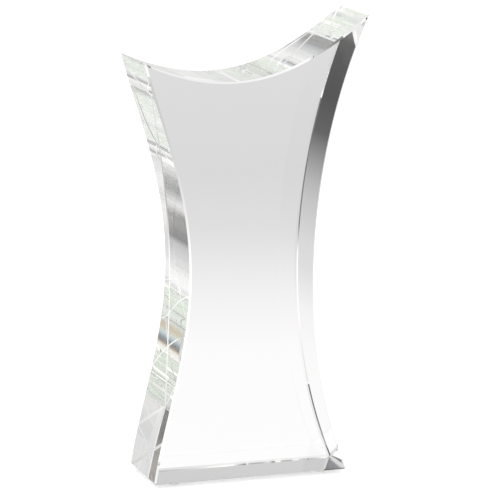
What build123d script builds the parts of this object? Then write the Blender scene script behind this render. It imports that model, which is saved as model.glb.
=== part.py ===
from build123d import *

import os

# A free-standing crystal award: one solid block of polished optical crystal, cut as an upright
# slab of even thickness. Its base is flat, both flanks are hollow, and its hollow top climbs
# from a lower horn on the left to a taller horn on the right. Four clear bumper feet under
# the base keep it off the desk.
#
# Millimetres. +Z is up and the front face looks along -Y. The origin is on the desk, half-way
# between the tips of the two horns.

# --- Driving dimensions of the block, to its corners before they are bevelled ---------------
BLOCK_HEIGHT = 229.0        # underside to the tip of the taller, right horn
HORN_STEP = 19.4            # how much lower the tip of the left horn stands
BLOCK_THICKNESS = 42.8      # front face to rear face
HORN_SPAN = 115.2           # tip of the left horn to tip of the right horn
BASE_WIDTH = 100.8          # across the flat base
BASE_SHIFT = -3.4           # half-way between the horns to the middle of the base

# Each hollow runs from one corner to the next, anticlockwise as seen from the front. DEPTH is
# how far it falls behind the straight line between its corners, half-way along. LEAN moves
# the deepest place towards the second corner, or back towards the first if negative. FLARE
# rounds the hollow out near its corners; a negative one leaves them straighter.
RIGHT_DEPTH = 22.8          # right flank, base to right tip
RIGHT_LEAN = -0.07
RIGHT_FLARE = 0.08
TOP_DEPTH = 19.2            # top, right tip to left tip
TOP_LEAN = 0.11
TOP_FLARE = -0.08
LEFT_DEPTH = 20.6           # left flank, left tip to base
LEFT_LEAN = -0.094
LEFT_FLARE = -0.46

EDGE_CHAMFER = 0.9          # polished bevel along every edge of the block

# --- Driving dimensions of the bumper feet -------------------------------------------------
BUMPER_DIAMETER = 9.5
BUMPER_HEIGHT = 2.0         # desk to the underside of the block
BUMPER_EDGE_RADIUS = 1.2    # soft lower rim
BUMPER_SIDE_INSET = 12.0    # end of the base to the middle of a bumper
BUMPER_FACE_INSET = 9.0     # front or rear face to the middle of a bumper

SPANS_PER_HOLLOW = 12       # spans of the smooth curve drawn through each hollow


def hollow(start, end, depth, lean, flare):
    """Smooth curve that falls away to the left of the line from start to end."""
    chord = Vector(*end) - Vector(*start)
    inward = Vector(-chord.Y, chord.X).normalized()
    points = []
    for i in range(SPANS_PER_HOLLOW + 1):
        u = i / SPANS_PER_HOLLOW
        w = 2 * u - 1
        fall = 4 * depth * u * (1 - u) * (1 + lean * w + flare * w * w)
        points.append(Vector(*start) + chord * u + inward * fall)
    return Spline(*points)


def block_outline():
    """Front view of the block, as a closed face in its own plane: X across, Y up."""
    base_left = (BASE_SHIFT - BASE_WIDTH / 2, 0)
    base_right = (BASE_SHIFT + BASE_WIDTH / 2, 0)
    right_tip = (HORN_SPAN / 2, BLOCK_HEIGHT)
    left_tip = (-HORN_SPAN / 2, BLOCK_HEIGHT - HORN_STEP)
    edges = [
        Line(base_left, base_right),
        hollow(base_right, right_tip, RIGHT_DEPTH, RIGHT_LEAN, RIGHT_FLARE),
        hollow(right_tip, left_tip, TOP_DEPTH, TOP_LEAN, TOP_FLARE),
        hollow(left_tip, base_left, LEFT_DEPTH, LEFT_LEAN, LEFT_FLARE),
    ]
    return make_face(Wire(edges))


def crystal_block():
    """Slab cut to the outline, standing on the bumpers, with every edge bevelled."""
    upright = Plane(
        origin=(0, BLOCK_THICKNESS / 2, BUMPER_HEIGHT), x_dir=(1, 0, 0), z_dir=(0, -1, 0)
    )
    slab = extrude(upright * block_outline(), BLOCK_THICKNESS)
    return chamfer(slab.edges(), EDGE_CHAMFER)


def bumper(side, face):
    """Clear disc foot; side is -1 left or 1 right, face is -1 front or 1 rear."""
    x = BASE_SHIFT + side * (BASE_WIDTH / 2 - BUMPER_SIDE_INSET)
    y = face * (BLOCK_THICKNESS / 2 - BUMPER_FACE_INSET)
    disc = Pos(x, y, BUMPER_HEIGHT / 2) * Cylinder(BUMPER_DIAMETER / 2, BUMPER_HEIGHT)
    lower_rim = disc.edges().sort_by(Axis.Z)[0]
    return fillet(lower_rim, BUMPER_EDGE_RADIUS)


def all_nodes():
    """Every separate piece of the award, by name."""
    nodes = {"crystal_block": crystal_block()}
    for face_name, face in (("front", -1), ("rear", 1)):
        for side_name, side in (("left", -1), ("right", 1)):
            nodes[f"bumper_{face_name}_{side_name}"] = bumper(side, face)
    return nodes


os.makedirs("parts", exist_ok=True)
for name, solid in all_nodes().items():
    export_step(solid, f"parts/{name}.step")
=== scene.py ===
import math

import bmesh
import bpy
from mathutils import Matrix, Vector


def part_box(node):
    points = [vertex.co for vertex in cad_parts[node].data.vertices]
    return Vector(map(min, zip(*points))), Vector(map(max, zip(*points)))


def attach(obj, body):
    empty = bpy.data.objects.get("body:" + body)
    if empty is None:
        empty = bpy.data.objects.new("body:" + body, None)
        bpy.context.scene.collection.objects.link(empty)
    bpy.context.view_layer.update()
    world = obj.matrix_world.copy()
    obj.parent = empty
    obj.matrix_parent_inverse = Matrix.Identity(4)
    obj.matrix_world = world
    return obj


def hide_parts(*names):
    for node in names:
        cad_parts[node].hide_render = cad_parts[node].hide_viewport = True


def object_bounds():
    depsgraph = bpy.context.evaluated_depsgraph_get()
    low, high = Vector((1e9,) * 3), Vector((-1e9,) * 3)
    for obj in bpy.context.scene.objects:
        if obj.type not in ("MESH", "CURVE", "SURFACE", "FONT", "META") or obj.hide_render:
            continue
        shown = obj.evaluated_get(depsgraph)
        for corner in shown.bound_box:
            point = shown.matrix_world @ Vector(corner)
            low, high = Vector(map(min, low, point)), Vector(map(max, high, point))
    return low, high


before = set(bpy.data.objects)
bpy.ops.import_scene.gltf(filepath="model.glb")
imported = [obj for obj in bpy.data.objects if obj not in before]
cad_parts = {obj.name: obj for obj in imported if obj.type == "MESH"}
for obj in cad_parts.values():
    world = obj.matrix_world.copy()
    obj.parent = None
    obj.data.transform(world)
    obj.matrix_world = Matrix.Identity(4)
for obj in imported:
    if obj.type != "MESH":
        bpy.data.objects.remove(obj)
cad_low, cad_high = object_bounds()

MM = 0.001

# The block's outline before its bevel, by the same driving values as the CAD, in millimetres.
BLOCK_HEIGHT = 229.0
HORN_STEP = 19.4
HORN_SPAN = 115.2
BASE_WIDTH = 100.8
BASE_SHIFT = -3.4
EDGE_BEVEL = 0.9
# Depth, lean and flare of each hollow, as in the CAD.
RIGHT_HOLLOW = (22.8, -0.07, 0.08)
TOP_HOLLOW = (19.2, 0.11, -0.08)
LEFT_HOLLOW = (20.6, -0.094, -0.46)
SPANS_PER_HOLLOW = 110
# Film of air that stays between the block and a bumper put on dry.
AIR_FILM = 0.02
# Points nearer than this, in metres, are welded.
WELD_DISTANCE = 1e-6
# Faces that meet at less than this many degrees are shaded as one smooth surface.
SMOOTH_BELOW = 20.0

WHITE = (1.0, 1.0, 1.0, 1.0)
CRYSTAL_IOR = 1.517
# In each channel, the crystal's absorption coefficient per metre is 1 minus this: faint green.
CRYSTAL_DEPTH = (0.70, 0.80, 0.66, 1.0)
BUMPER_IOR = 1.49
BUMPER_COLOUR = (0.94, 0.95, 0.94, 1.0)
BUMPER_CLARITY = 0.95
# Roughness of the bumpers, from their clearest to their haziest spots, and the noise's scale.
BUMPER_CLEAREST, BUMPER_HAZIEST = 0.12, 0.22
BUMPER_GRAIN = 900.0


# --- Node helpers ---------------------------------------------------------------------------


def fill(tree, socket, value):
    """Link the socket to another one, or set it."""
    if isinstance(value, bpy.types.NodeSocket):
        tree.links.new(value, socket)
    else:
        socket.default_value = value


def node(tree, kind, **sockets):
    """Add a node. Sockets go by name, or by number as _0; a value may be a socket to link."""
    made = tree.nodes.new(kind)
    for name, value in sockets.items():
        key = int(name[1:]) if name[1:].isdigit() else name.replace("_", " ")
        fill(tree, made.inputs[key], value)
    return made


def maths(tree, operation, a, b=0.0):
    made = node(tree, "ShaderNodeMath", _0=a, _1=b)
    made.operation = operation
    return made.outputs[0]


# --- The crystal block ----------------------------------------------------------------------


def hollow_points(start, end, depth, lean, flare):
    """Points along a hollow, from its first corner up to but not including its last."""
    start, end = Vector(start), Vector(end)
    chord = end - start
    inward = Vector((-chord.y, chord.x)).normalized()
    points = [start]
    # The point next to each corner is left out, so that the bevel has room.
    for i in range(2, SPANS_PER_HOLLOW - 1):
        u = i / SPANS_PER_HOLLOW
        w = 2 * u - 1
        fall = 4 * depth * u * (1 - u) * (1 + lean * w + flare * w * w)
        points.append(start + chord * u + inward * fall)
    return points


def block_outline():
    """The outline anticlockwise as seen from the front, and which of its points are corners."""
    base_left = (BASE_SHIFT - BASE_WIDTH / 2, 0.0)
    base_right = (BASE_SHIFT + BASE_WIDTH / 2, 0.0)
    right_tip = (HORN_SPAN / 2, BLOCK_HEIGHT)
    left_tip = (-HORN_SPAN / 2, BLOCK_HEIGHT - HORN_STEP)
    right = hollow_points(base_right, right_tip, *RIGHT_HOLLOW)
    top = hollow_points(right_tip, left_tip, *TOP_HOLLOW)
    left = hollow_points(left_tip, base_left, *LEFT_HOLLOW)
    corners = [0, 1, 1 + len(right), 1 + len(right) + len(top)]
    return [Vector(base_left)] + right + top + left, corners


def crystal_mesh():
    """Bevelled slab cut to the outline, fitted into the CAD block's box less the film of air."""
    low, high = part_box("crystal_block")
    low, high = Vector(low), Vector(high)
    thickness = high.y - low.y
    low.z += AIR_FILM * MM
    outline, corners = block_outline()
    made = bmesh.new()
    front = [made.verts.new((p.x * MM, -thickness / 2, p.y * MM)) for p in outline]
    rear = [made.verts.new((p.x * MM, thickness / 2, p.y * MM)) for p in outline]
    made.faces.new(front)
    made.faces.new(rear[::-1])
    count = len(outline)
    for i in range(count):
        j = (i + 1) % count
        made.faces.new((front[j], front[i], rear[i], rear[j]))
    made.normal_update()
    # Every edge round the two faces, and the edges along the thickness at the corners.
    sharp = [e for e in made.edges if e.verts[0].co.y == e.verts[1].co.y]
    sharp += [made.edges.get((front[i], rear[i])) for i in corners]
    bmesh.ops.bevel(
        made,
        geom=sharp,
        offset=EDGE_BEVEL * MM,
        offset_type="OFFSET",
        segments=1,
        profile=0.5,
        affect="EDGES",
        clamp_overlap=False,
    )
    bmesh.ops.remove_doubles(made, verts=made.verts, dist=WELD_DISTANCE)
    bmesh.ops.recalc_face_normals(made, faces=made.faces)
    own_low = Vector(min(v.co[k] for v in made.verts) for k in range(3))
    own_high = Vector(max(v.co[k] for v in made.verts) for k in range(3))
    for v in made.verts:
        for k in range(3):
            share = (v.co[k] - own_low[k]) / (own_high[k] - own_low[k])
            v.co[k] = low[k] + share * (high[k] - low[k])
    mesh = bpy.data.meshes.new("crystal")
    made.to_mesh(mesh)
    made.free()
    mesh.shade_smooth()
    mesh.set_sharp_from_angle(angle=math.radians(SMOOTH_BELOW))
    return mesh


def crystal_material():
    material = bpy.data.materials.new("optical_crystal")
    material.use_nodes = True
    tree = material.node_tree
    tree.nodes.clear()
    out = tree.nodes.new("ShaderNodeOutputMaterial")
    glass = tree.nodes.new("ShaderNodeBsdfPrincipled")
    glass.inputs["Base Color"].default_value = WHITE
    glass.inputs["Roughness"].default_value = 0.0
    glass.inputs["IOR"].default_value = CRYSTAL_IOR
    glass.inputs["Transmission Weight"].default_value = 1.0
    absorption = tree.nodes.new("ShaderNodeVolumeAbsorption")
    absorption.inputs["Color"].default_value = CRYSTAL_DEPTH
    absorption.inputs["Density"].default_value = 1.0
    tree.links.new(glass.outputs[0], out.inputs["Surface"])
    tree.links.new(absorption.outputs[0], out.inputs["Volume"])
    return material


def bumper_material():
    material = bpy.data.materials.new("clear_polyurethane")
    material.use_nodes = True
    tree = material.node_tree
    shader = tree.nodes["Principled BSDF"]
    grain = node(tree, "ShaderNodeTexNoise", Scale=BUMPER_GRAIN, Detail=3.0)
    haze = node(tree, "ShaderNodeMapRange", Value=grain.outputs[0])
    haze.inputs["To Min"].default_value = BUMPER_CLEAREST
    haze.inputs["To Max"].default_value = BUMPER_HAZIEST
    tree.links.new(haze.outputs[0], shader.inputs["Roughness"])
    shader.inputs["Base Color"].default_value = BUMPER_COLOUR
    shader.inputs["IOR"].default_value = BUMPER_IOR
    shader.inputs["Transmission Weight"].default_value = BUMPER_CLARITY
    return material


def clear_bumpers():
    """The CAD bumpers carry over as they are; only their material changes."""
    material = bumper_material()
    for name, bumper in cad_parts.items():
        if name.startswith("bumper"):
            for slot in bumper.material_slots:
                slot.material = material


def crystal_block():
    block = bpy.data.objects.new("crystal", crystal_mesh())
    bpy.context.scene.collection.objects.link(block)
    block.data.materials.append(crystal_material())
    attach(block, "root")
    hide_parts("crystal_block")


# --- Studio ---------------------------------------------------------------------------------

# Brightness of the studio against elevation in degrees, seen from the award: behind it and
# on the camera's side, to the right and to the left. The levels come from a fit to the greys
# in the crystal's faces, rounded and cut down.
BEHIND_RIGHT = (
    (-22.0, 0.85), (-18.0, 1.00), (-13.0, 1.00), (-12.0, 0.91), (-11.0, 0.765), (-10.0, 0.72),
    (-6.0, 0.80), (3.0, 0.80), (5.5, 0.70), (9.0, 0.90), (13.5, 0.75), (16.0, 0.53),
    (17.5, 0.90), (22.0, 1.10),
)
BEHIND_LEFT = (
    (-18.0, 0.98), (-14.5, 0.93), (-11.0, 0.75), (-9.0, 0.72), (-5.5, 0.58), (-4.0, 0.48),
    (0.0, 0.11), (3.0, 0.07), (7.5, 0.07), (12.0, 0.68), (18.0, 0.68), (22.0, 1.00),
)
FRONT_RIGHT = (
    (-23.0, 1.10), (-20.0, 1.40), (-14.5, 1.05), (-12.0, 0.77), (-9.0, 0.58), (-6.0, 0.50),
    (-4.5, 0.10), (2.0, 0.08), (4.0, 0.70), (5.0, 0.70), (8.0, 0.08), (11.0, 0.05),
    (14.5, 1.05), (22.0, 1.80),
)
FRONT_LEFT = (
    (-23.0, 1.10), (-12.0, 0.77), (-6.0, 0.25), (3.0, 0.25), (9.0, 0.85), (13.0, 1.10),
    (22.0, 2.00),
)
LOWEST, HIGHEST = -26.0, 26.0
# The rest of the room, all round and overhead, against height from straight down to straight up.
AROUND = (
    (-1.0, 0.68), (-0.8, 0.75), (-0.5, 1.15), (-0.17, 1.20), (0.0, 0.30), (0.15, 0.45),
    (0.35, 1.00), (0.7, 1.05), (0.9, 0.55), (1.0, 0.40),
)
# The left side of the room, which is darker above the table.
AROUND_LEFT = (
    (-1.0, 0.68), (-0.8, 0.75), (-0.5, 1.10), (-0.17, 1.15), (0.0, 0.20), (0.7, 0.15),
    (0.85, 0.55), (1.0, 0.40),
)
# Light that has crossed the block many times over is evened out to this, between these two
# numbers of bounces. That isn't physical: it keeps the longest paths from turning to noise.
MANY_TIMES_CROSSED = (0.98, 1.00, 0.975)
EVENING_STARTS, EVENING_ENDS = 9.0, 22.0
# The backdrop straight ahead, inside the ring that the flat faces can show.
STRAIGHT_AHEAD = (0.73, 0.72, 0.725)
TINT = (1.0, 0.985, 0.992)
BRIGHTEST = 2.0
# Stand-in for the crystal's dispersion: how many degrees the room is tilted for red, and the
# other way for blue, growing from none to all of it between these two numbers of bounces.
# That isn't physical either.
COLOUR_SPREAD = 0.45
SPREAD_STARTS, SPREAD_ENDS = 3.0, 9.0
# Where one part of the room passes into the next, by the direction's x, to the right, or y, to
# the back, each from -1 to 1.
LEFT_TO_RIGHT_X = (-0.10, 0.0)
FAR_LEFT_TO_REST_X = (-0.8, -0.5)
FRONT_TO_BEHIND_Y = (-0.2, 0.2)
BACKDROP_TO_STRAIGHT_AHEAD_Y = (0.955, 0.98)
# By the size of y, whatever its sign.
SIDES_TO_FRONT_OR_BACK_Y = (0.6, 0.88)
# What the camera and matt surfaces see in place of the studio.
PLAIN_WHITE = (0.991, 0.991, 0.991, 1.0)
FLOOR_RADIUS = 4.0
FLOOR_SIDES = 96
FLOOR_ROUGHNESS = 0.9
FLOOR_COLOUR = (0.95, 0.95, 0.95, 1.0)
FLOOR_GLOW = 0.45

# The photograph's viewing angle: the camera's direction from the award in degrees, then in
# metres its distance from the point on the front face's plane that it aims at and that point's
# place. Its lens and sensor are in millimetres.
CAMERA_LEFT_OF_FRONT = 18.16
CAMERA_ABOVE_LEVEL = 11.235
CAMERA_DISTANCE = 1.6173
AIM_ACROSS = -0.0069
AIM_HEIGHT = 0.1199
CAMERA_LENS = 242.8
CAMERA_SENSOR = 36.0
# Enough for the light that turns back many times inside the crystal.
MOST_BOUNCES = 64


def share_of_brightest(colour):
    """The studio's colours are stored as shares of its brightest, which its strength restores."""
    return [channel / BRIGHTEST for channel in colour] + [1.0]


def brightness_ramp(tree, value, low, high, stops):
    """Tinted brightness that follows the stops as the value goes from low to high."""
    share = node(tree, "ShaderNodeMapRange", Value=value, From_Min=low, From_Max=high)
    made = node(tree, "ShaderNodeValToRGB", Fac=share.outputs[0])
    ramp = made.color_ramp
    while len(ramp.elements) > 1:
        ramp.elements.remove(ramp.elements[0])
    for i, (place, brightness) in enumerate(stops):
        place = (place - low) / (high - low)
        element = ramp.elements[0] if i == 0 else ramp.elements.new(place)
        element.position = place
        element.color = share_of_brightest([brightness * channel for channel in TINT])
    return made.outputs[0]


def smooth_step(tree, value, low, high):
    made = node(tree, "ShaderNodeMapRange", Value=value, From_Min=low, From_Max=high)
    made.interpolation_type = "SMOOTHSTEP"
    return made.outputs[0]


def mixed(tree, share, a, b):
    made = tree.nodes.new("ShaderNodeMix")
    made.data_type = "RGBA"
    # The places of a mix node's factor and of its two colours.
    for place, value in ((0, share), (6, a), (7, b)):
        fill(tree, made.inputs[place], value)
    return made.outputs[2]


def room_colour(tree, x, y, z, tilt):
    """Colour of the room towards (x, y, z), read some degrees higher than that."""
    elevation = maths(tree, "ADD", maths(tree, "DEGREES", maths(tree, "ARCSINE", z)), tilt)
    ramps = [
        brightness_ramp(tree, elevation, LOWEST, HIGHEST, stops)
        for stops in (BEHIND_LEFT, BEHIND_RIGHT, FRONT_LEFT, FRONT_RIGHT)
    ]
    to_right = smooth_step(tree, x, *LEFT_TO_RIGHT_X)
    behind = mixed(tree, to_right, ramps[0], ramps[1])
    in_front = mixed(tree, to_right, ramps[2], ramps[3])
    straight_ahead = smooth_step(tree, y, *BACKDROP_TO_STRAIGHT_AHEAD_Y)
    behind = mixed(tree, straight_ahead, behind, share_of_brightest(STRAIGHT_AHEAD))
    ahead = mixed(tree, smooth_step(tree, y, *FRONT_TO_BEHIND_Y), in_front, behind)
    height = maths(tree, "SINE", maths(tree, "RADIANS", elevation))
    around = mixed(
        tree,
        smooth_step(tree, x, *FAR_LEFT_TO_REST_X),
        brightness_ramp(tree, height, -1.0, 1.0, AROUND_LEFT),
        brightness_ramp(tree, height, -1.0, 1.0, AROUND),
    )
    facing = smooth_step(tree, maths(tree, "ABSOLUTE", y), *SIDES_TO_FRONT_OR_BACK_Y)
    return mixed(tree, facing, around, ahead)


def studio_world():
    """The room that clear and shiny pieces see, and plain white for the camera and matt ones."""
    world = bpy.data.worlds.new("studio")
    bpy.context.scene.world = world
    world.use_nodes = True
    tree = world.node_tree
    tree.nodes.clear()
    where = tree.nodes.new("ShaderNodeTexCoord")
    axes = node(tree, "ShaderNodeSeparateXYZ", Vector=where.outputs["Generated"])
    path = tree.nodes.new("ShaderNodeLightPath")
    depth = path.outputs["Ray Depth"]
    often = smooth_step(tree, depth, SPREAD_STARTS, SPREAD_ENDS)
    spread = maths(tree, "MULTIPLY", often, COLOUR_SPREAD)
    tilts = (spread, 0.0, maths(tree, "MULTIPLY", spread, -1.0))
    joined = tree.nodes.new("ShaderNodeCombineColor")
    for channel, tilt in enumerate(tilts):
        tilted = room_colour(tree, *axes.outputs, tilt)
        split = node(tree, "ShaderNodeSeparateColor", Color=tilted)
        tree.links.new(split.outputs[channel], joined.inputs[channel])
    evened = smooth_step(tree, depth, EVENING_STARTS, EVENING_ENDS)
    room = mixed(tree, evened, joined.outputs[0], share_of_brightest(MANY_TIMES_CROSSED))
    studio = node(tree, "ShaderNodeBackground", Color=room, Strength=BRIGHTEST)
    plain = node(tree, "ShaderNodeBackground", Color=PLAIN_WHITE, Strength=1.0)
    direct = maths(tree, "MAXIMUM", path.outputs["Is Camera Ray"], path.outputs["Is Diffuse Ray"])
    mix = node(tree, "ShaderNodeMixShader", Fac=direct)
    tree.links.new(studio.outputs[0], mix.inputs[1])
    tree.links.new(plain.outputs[0], mix.inputs[2])
    out = tree.nodes.new("ShaderNodeOutputWorld")
    tree.links.new(mix.outputs[0], out.inputs["Surface"])


def floor():
    """Pale floor that glows a little. The crystal doesn't see it: the studio stands in for it."""
    mesh = bpy.data.meshes.new("floor")
    made = bmesh.new()
    bmesh.ops.create_circle(made, cap_ends=True, segments=FLOOR_SIDES, radius=FLOOR_RADIUS)
    made.to_mesh(mesh)
    made.free()
    plane = bpy.data.objects.new("floor", mesh)
    bpy.context.scene.collection.objects.link(plane)
    material = bpy.data.materials.new("pale_floor")
    material.use_nodes = True
    shader = material.node_tree.nodes["Principled BSDF"]
    shader.inputs["Base Color"].default_value = FLOOR_COLOUR
    shader.inputs["Roughness"].default_value = FLOOR_ROUGHNESS
    shader.inputs["Emission Color"].default_value = WHITE
    shader.inputs["Emission Strength"].default_value = FLOOR_GLOW
    mesh.materials.append(material)
    plane.visible_transmission = False
    plane.visible_glossy = False


def camera():
    """The photograph's viewing angle: from the left and a little above, through a long lens."""
    azimuth, elevation = math.radians(CAMERA_LEFT_OF_FRONT), math.radians(CAMERA_ABOVE_LEVEL)
    target = Vector((AIM_ACROSS, cad_low[1], AIM_HEIGHT))
    back = Vector((
        -math.sin(azimuth) * math.cos(elevation),
        -math.cos(azimuth) * math.cos(elevation),
        math.sin(elevation),
    ))
    right = (-back).cross(Vector((0, 0, 1))).normalized()
    up = right.cross(-back)
    turn = Matrix((right, up, back)).transposed()
    data = bpy.data.cameras.new("camera")
    data.sensor_width = CAMERA_SENSOR
    data.lens = CAMERA_LENS
    data.clip_start = 0.01
    data.clip_end = 50.0
    made = bpy.data.objects.new("camera", data)
    made.matrix_world = Matrix.Translation(target + back * CAMERA_DISTANCE) @ turn.to_4x4()
    bpy.context.scene.collection.objects.link(made)
    bpy.context.scene.camera = made


scene = bpy.context.scene
scene.view_settings.view_transform = "Standard"
scene.cycles.max_bounces = MOST_BOUNCES
scene.cycles.transmission_bounces = MOST_BOUNCES
scene.cycles.glossy_bounces = MOST_BOUNCES
scene.cycles.diffuse_bounces = 4

crystal_block()
clear_bumpers()
studio_world()
floor()
camera()
